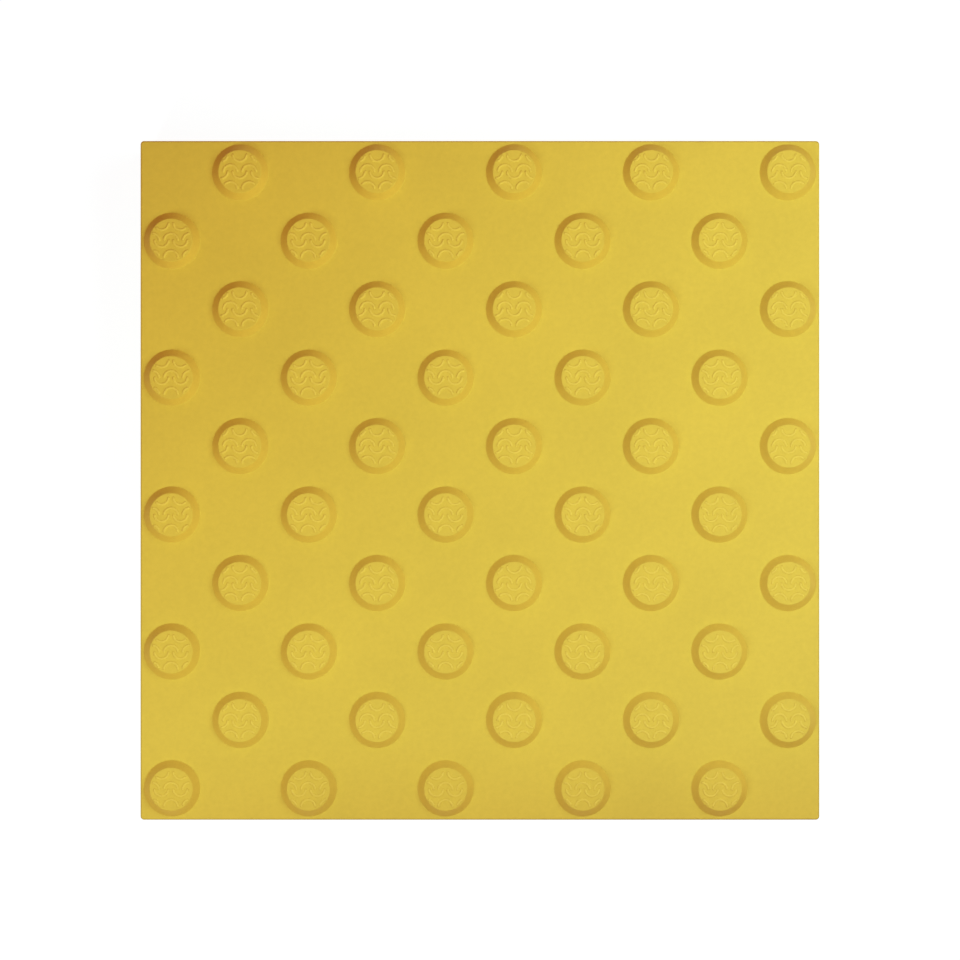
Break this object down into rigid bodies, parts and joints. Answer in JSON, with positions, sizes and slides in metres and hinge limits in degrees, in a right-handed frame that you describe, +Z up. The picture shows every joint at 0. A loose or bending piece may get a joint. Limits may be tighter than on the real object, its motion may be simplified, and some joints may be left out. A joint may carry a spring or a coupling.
{
  "type": "tactile paving slab",
  "caption": "Square yellow concrete paving slab with staggered rows of raised flat-topped domes, laid as a warning surface that can be felt underfoot or with a cane.",
  "frame": {"origin": "centre of the bed face, the flat underside that lies on the mortar", "axes": "+Z up out of the domed walking face; +X to the right and +Y to the top of the picture, along the slab's sides and along its rows of domes"},
  "size_m": [0.3988, 0.3988, 0.055],
  "materials": {
    "yellow_concrete": "matte"
  },
  "bodies": {
    "root": {"tactile_slab": "yellow_concrete"}
  },
  "joints": []
}
